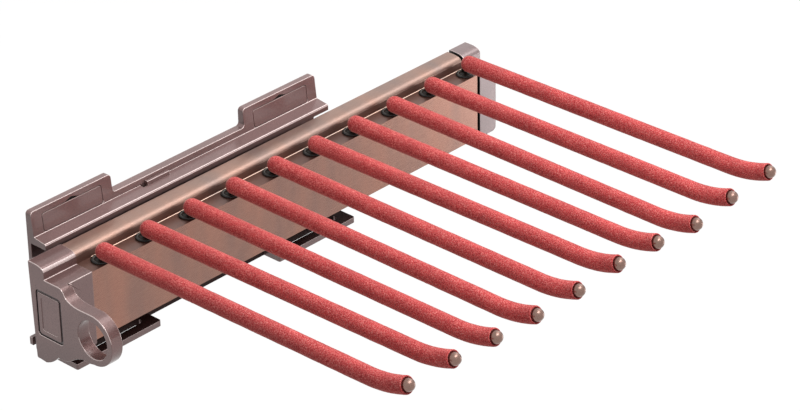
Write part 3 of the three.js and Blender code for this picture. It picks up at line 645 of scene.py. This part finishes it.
def sleeve_piece(index, stand):
    """A flocked sleeve: domed root, straight run, risen tip and a rim around a shallow cup."""
    seed = FUZZ_STEP * index

    def fuzz(point):
        fine = noise.noise((point + seed) * FINE_SCALE)
        wide = noise.noise((point + seed) * WIDE_SCALE)
        return FINE_FUZZ * fine + WIDE_FUZZ * wide

    start = ROOT_END - STRAIGHT_END
    end = TIP_LENGTH - RIM_BACK
    rings = []
    for k in range(1, ROOT_STEPS + 1):
        lift = math.pi / 2 * k / ROOT_STEPS
        centre, turn = tip_frame(start + SLEEVE_RADIUS * (1 - math.cos(lift)))
        rings.append(ring_at(centre, turn, SLEEVE_RADIUS * math.sin(lift), SLEEVE_SIDES, fuzz))
    run_start = start + SLEEVE_RADIUS
    run = end - RIM_ROUND - run_start
    steps = int(run / RING_STEP)
    for k in range(1, steps + 1):
        centre, turn = tip_frame(run_start + run * k / steps)
        rings.append(ring_at(centre, turn, SLEEVE_RADIUS, SLEEVE_SIDES, fuzz))
    middle = (SLEEVE_RADIUS + CUP_RADIUS) / 2
    half = (SLEEVE_RADIUS - CUP_RADIUS) / 2
    for k in range(1, 2 * RIM_STEPS):
        lift = math.pi / 2 * k / RIM_STEPS
        centre, turn = tip_frame(end - RIM_ROUND * (1 - math.sin(lift)))
        rings.append(ring_at(centre, turn, middle + half * math.cos(lift), SLEEVE_SIDES))
    for radius in (CUP_RADIUS, ROD_RADIUS):
        centre, turn = tip_frame(end - CUP_DEPTH)
        rings.append(ring_at(centre, turn, radius, SLEEVE_SIDES))
    vertices, faces = rings_mesh(rings)
    return mesh_object("sleeve_look_%02d" % (index + 1), [stand @ v for v in vertices], faces, [FLOCK])


LATHE_SIDES = 40
LATHE_SOFT_ANGLE = math.radians(50.0)


def lathe(profile):
    """Rings about the Z axis from (radius, height) pairs."""
    angles = [2 * math.pi * i / LATHE_SIDES for i in range(LATHE_SIDES)]
    return [[Vector((r * math.cos(a), r * math.sin(a), h)) for a in angles] for r, h in profile]


def lathe_object(name, profiles, materials, place):
    """Closed turned rings, one for each profile and material, as one object."""
    vertices = []
    faces = []
    owners = []
    for number, profile in enumerate(profiles):
        part, quads = rings_mesh(lathe(profile + profile[:1]), closed=False)
        faces += [tuple(v + len(vertices) for v in quad) for quad in quads]
        owners += [number] * len(quads)
        vertices += part
    piece = mesh_object(name, [place @ v for v in vertices], faces, materials)
    for face, owner in zip(piece.data.polygons, owners):
        face.material_index = owner
    work = merged_copy(piece.data, SAME_POINT)
    work.to_mesh(piece.data)
    work.free()
    piece.data.set_sharp_from_angle(angle=LATHE_SOFT_ANGLE)
    return piece


BALL_RADIUS = 4.75
BALL_OUT = KNOB_RADIUS - BALL_RADIUS
BALL_FOOT = math.radians(-42.0)  # where the dome ends under its widest ring
BALL_STEPS = 16
COLLAR_RADIUS = 3.3
COLLAR_BACK = 2.3
COLLAR_OVERLAP = 0.1
PIN_HOLE = 0.02  # radius that keeps a turned ring open at its axis
KNOB_CENTRE = tip_frame(TIP_LENGTH)[0]


def knob_piece(index, stand):
    """A satin dome on a dark collar that sits in the sleeve's end."""
    dome = []
    for k in range(BALL_STEPS):
        angle = BALL_FOOT + (math.pi / 2 - BALL_FOOT) * k / BALL_STEPS
        dome.append((BALL_RADIUS * math.cos(angle), BALL_OUT + BALL_RADIUS * math.sin(angle)))
    foot = dome[0][1]
    dome += [(PIN_HOLE, BALL_OUT + BALL_RADIUS), (PIN_HOLE, foot)]
    neck = foot + COLLAR_OVERLAP
    collar = [
        (PIN_HOLE, -COLLAR_BACK),
        (COLLAR_RADIUS, -COLLAR_BACK),
        (COLLAR_RADIUS, neck),
        (PIN_HOLE, neck),
    ]
    turn = Matrix.Rotation(math.pi / 2 - TIP_ANGLE, 4, "Y")
    place = stand @ Matrix.Translation(KNOB_CENTRE) @ turn
    return lathe_object("knob_look_%02d" % (index + 1), (dome, collar), [BALL, BLACK], place)


# Radius and height over the shelf of each corner of a washer's three rings
SEAL = [
    (2.9, 0.3),
    (6.7, 0.3),
    (6.95, 0.5),
    (6.95, 1.2),
    (6.6, 1.55),
    (5.9, 1.6),
    (5.7, 1.0),
    (2.9, 1.0),
]
DISH = [(4.1, 0.9), (5.6, 0.9), (5.7, 1.6), (5.3, 1.7), (4.6, 1.4), (4.1, 1.2)]
POST_FOOT = [(2.5, 0.9), (4.6, 0.9), (4.6, 1.6), (4.0, 2.1), (2.9, 2.3), (2.5, 2.8)]


def washer_piece(index, y):
    """A black seal ring, a rolled grey dish on it and the black foot of the post."""
    place = Matrix.Scale(MM, 4) @ Matrix.Translation((POST_X, y, SHELF))
    rings = (SEAL, DISH, POST_FOOT)
    return lathe_object("washer_look_%02d" % (index + 1), rings, [BLACK_SEAL_AND_PAINTED_SHADE, WASHER, BLACK], place)


ROOT_BEND = 5.0
BEND_STEPS = 8
TIP_STEPS = 12
POST_DEPTH = 7.4
ROD_SIDES = 20


def rod_piece(index, stand):
    """The black rod: up through the shelf, round its bend and along the sleeve."""
    path = [(Vector((POST_X, 0, SHELF - POST_DEPTH)), math.pi / 2)]
    for k in range(BEND_STEPS + 1):
        turn = math.pi / 2 * k / BEND_STEPS
        x = POST_X + ROOT_BEND * (1 - math.cos(turn))
        path.append((Vector((x, 0, ARM_Z - ROOT_BEND * (1 - math.sin(turn)))), math.pi / 2 - turn))
    for k in range(TIP_STEPS + 1):
        path.append(tip_frame(TIP_LENGTH * k / TIP_STEPS))
    rings = [ring_at(centre, turn, ROD_RADIUS, ROD_SIDES) for centre, turn in path]
    vertices, faces = rings_mesh(rings)
    return mesh_object("rod_look_%02d" % (index + 1), [stand @ v for v in vertices], faces, [BLACK])


for index in range(len(LIFT_DEGREES)):
    tag = "%02d" % (index + 1)
    low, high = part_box("arm_washer_" + tag)
    y = (low.y + high.y) / 2 / MM
    stand = lean(index, y)
    stand_for(sleeve_piece(index, stand), "rack", "red_flock", None, "arm_sleeve_" + tag)
    stand_for(knob_piece(index, stand), "rack", "knob_bronze", None, "arm_knob_" + tag)
    stand_for(washer_piece(index, y), "rack", "grey_washer", None, "arm_washer_" + tag)
    stand_for(rod_piece(index, stand), "rack", "black_steel", None, "arm_rod_" + tag)


# Camera, in metres and its sensor and lens in millimetres

AZIMUTH = math.radians(43.38)
ELEVATION = math.radians(29.11)
ROLL = math.radians(-1.01)
DISTANCE = 2.3627
TARGET = Vector((0.1518, 0.0818, 0.03))
SENSOR_WIDTH = 36.0
LENS = 145.88
CLIP_END = 50.0

back = Vector(
    (
        math.sin(AZIMUTH) * math.cos(ELEVATION),
        -math.cos(AZIMUTH) * math.cos(ELEVATION),
        math.sin(ELEVATION),
    )
)
right = Vector((math.cos(AZIMUTH), math.sin(AZIMUTH), 0.0))
up = back.cross(right)
side = right * math.cos(ROLL) + up * math.sin(ROLL)
top = up * math.cos(ROLL) - right * math.sin(ROLL)
camera_data = bpy.data.cameras.new("camera")
camera_data.sensor_width = SENSOR_WIDTH
camera_data.lens = LENS
camera_data.clip_end = CLIP_END
camera = bpy.data.objects.new("camera", camera_data)
bpy.context.scene.collection.objects.link(camera)
turned = Matrix((side, top, back)).transposed().to_4x4()
turned.translation = TARGET + back * DISTANCE
camera.matrix_world = turned
bpy.context.scene.camera = camera


# Studio, in metres

ALONG_RAIL = Vector((0.0, 1.0, 0.0))


def lamp(name, place, aim, size, watts, in_gloss=True):
    """A soft lamp that shines at a point, with the first of its two sizes along the rail."""
    data = bpy.data.lights.new(name, "AREA")
    data.shape = "RECTANGLE"
    data.size, data.size_y = size
    data.energy = watts
    made = bpy.data.objects.new(name, data)
    bpy.context.scene.collection.objects.link(made)
    made.visible_camera = False
    made.visible_glossy = in_gloss
    out = (Vector(place) - Vector(aim)).normalized()
    across = (ALONG_RAIL - out * ALONG_RAIL.dot(out)).normalized()
    turned = Matrix((across, out.cross(across), out)).transposed().to_4x4()
    turned.translation = place
    made.matrix_world = turned


def white_to_camera(material_or_world, shader, strength, share=1.0):
    """The shader as it lights the object; a share of plain white to the camera, gloss and glass."""
    tree = material_or_world.node_tree
    path = tree.nodes.new("ShaderNodeLightPath")
    seen = path.outputs["Is Camera Ray"]
    for kind in ("Is Glossy Ray", "Is Transmission Ray"):
        pick = tree.nodes.new("ShaderNodeMath")
        pick.operation = "MAXIMUM"
        tree.links.new(seen, pick.inputs[0])
        tree.links.new(path.outputs[kind], pick.inputs[1])
        seen = pick.outputs[0]
    scaled = tree.nodes.new("ShaderNodeMath")
    scaled.operation = "MULTIPLY"
    scaled.inputs[1].default_value = share
    tree.links.new(seen, scaled.inputs[0])
    in_material = isinstance(material_or_world, bpy.types.Material)
    white = tree.nodes.new("ShaderNodeEmission" if in_material else "ShaderNodeBackground")
    white.inputs["Color"].default_value = (1.0, 1.0, 1.0, 1.0)
    white.inputs["Strength"].default_value = strength
    mix = tree.nodes.new("ShaderNodeMixShader")
    tree.links.new(scaled.outputs[0], mix.inputs["Fac"])
    tree.links.new(shader, mix.inputs[1])
    tree.links.new(white.outputs[0], mix.inputs[2])
    return mix.outputs[0]


SKY_COLOUR = (1.0, 0.985, 0.97, 1.0)
SKY_STRENGTH = 0.32
world = bpy.data.worlds.new("studio")
world.use_nodes = True
bpy.context.scene.world = world
sky = world.node_tree.nodes["Background"]
sky.inputs["Color"].default_value = SKY_COLOUR
sky.inputs["Strength"].default_value = SKY_STRENGTH
world_out = world.node_tree.nodes["World Output"]
world.node_tree.links.new(white_to_camera(world, sky.outputs[0], 1.0), world_out.inputs["Surface"])

FLOOR_COLOUR = (0.5, 0.49, 0.485, 1.0)
FLOOR_ROUGHNESS = 0.8
FLOOR_WHITE = 1.08
FLOOR_SHARE = 0.9  # the rest of what the camera sees of the floor is its own shading, with the shadow
FLOOR_Z = -0.5
FLOOR_HALF = 4.0
floor_material = bpy.data.materials.new("floor")
floor_material.use_nodes = True
floor_shader = floor_material.node_tree.nodes["Principled BSDF"]
floor_shader.inputs["Base Color"].default_value = FLOOR_COLOUR
floor_shader.inputs["Roughness"].default_value = FLOOR_ROUGHNESS
floor_out = floor_material.node_tree.nodes["Material Output"]
floor_white = white_to_camera(floor_material, floor_shader.outputs[0], FLOOR_WHITE, share=FLOOR_SHARE)
floor_material.node_tree.links.new(floor_white, floor_out.inputs["Surface"])
floor = mesh_object(
    "floor",
    [(x * FLOOR_HALF, y * FLOOR_HALF, FLOOR_Z) for x, y in ((-1, -1), (1, -1), (1, 1), (-1, 1))],
    [(0, 1, 2, 3)],
    [floor_material],
    smooth=False,
)

lamp("overhead", (0.2, 0.75, 1.45), aim=(0.15, 0.05, 0.0), size=(1.2, 1.2), watts=10.0, in_gloss=False)
lamp("key", (0.98, 1.2, 1.04), aim=(0.05, 0.1, 0.03), size=(0.9, 0.16), watts=8.0, in_gloss=False)
lamp("crown", (0.77, 0.11, 1.28), aim=(0.34, 0.08, 0.05), size=(0.9, 0.5), watts=11.0)
lamp("top", (0.12, 1.05, 1.2), aim=(0.05, 0.1, 0.0), size=(1.2, 0.6), watts=4.5)
lamp("low", (0.55, 0.95, -0.3), aim=(0.05, 0.3, 0.0), size=(0.25, 0.6), watts=1.2)

bpy.context.scene.view_settings.view_transform = "Standard"
